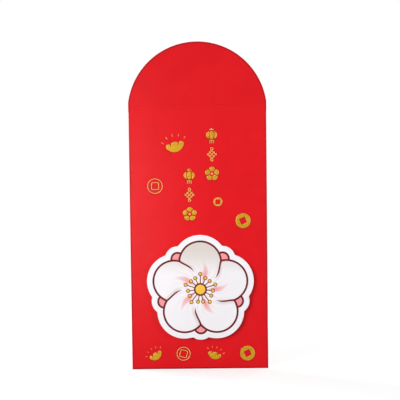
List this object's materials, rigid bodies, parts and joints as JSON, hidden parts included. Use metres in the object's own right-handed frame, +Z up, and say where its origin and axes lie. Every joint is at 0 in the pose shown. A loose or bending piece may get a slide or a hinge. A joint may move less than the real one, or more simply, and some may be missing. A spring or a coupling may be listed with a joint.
{
  "type": "paper gift envelope",
  "caption": "Flat red paper gift packet, a folded and glued pocket with a round flap that folds over the back, gold foil ornaments and a raised die-cut card on its front.",
  "frame": {"origin": "middle of the back panel's outer face, halfway between the bottom fold and the flap crease", "axes": "+Z up from the bottom fold to the open flap, the printed front faces -Y, the back panel faces +Y, +X to the right as seen from the front"},
  "size_m": [0.088, 0.0038, 0.21],
  "materials": {
    "red_card": "satin",
    "white_board": "satin",
    "gold_foil": "satin",
    "foam": "matte",
    "glue": "matte"
  },
  "bodies": {
    "pocket": {"front_panel": "red_card", "left_side_fold": "red_card", "right_side_fold": "red_card", "bottom_fold": "red_card", "back_panel": "red_card", "side_glue_tab": "red_card", "bottom_glue_tab": "red_card", "side_glue_line": "glue", "bottom_glue_line": "glue", "flap_crease": "red_card", "foam_pads": "foam", "die_cut_card": "white_board", "outline_coin_stamp": "gold_foil", "low_outline_coin_stamp": "gold_foil", "small_coin_stamp": "gold_foil", "solid_coin_stamps": "gold_foil", "ingot_stamp": "gold_foil", "low_ingot_stamps": "gold_foil", "blossom_stamps": "gold_foil", "knot_stamps": "gold_foil", "lantern_stamps": "gold_foil"},
    "flap": {"flap": "red_card"}
  },
  "joints": [
    {"name": "flap_fold", "type": "hinge", "parent": "pocket", "child": "flap", "pos_m": [0, -0.00065, 0.085], "axis": [-1, 0, 0], "range_deg": [0, 180], "deforming": ["flap_crease"]}
  ]
}
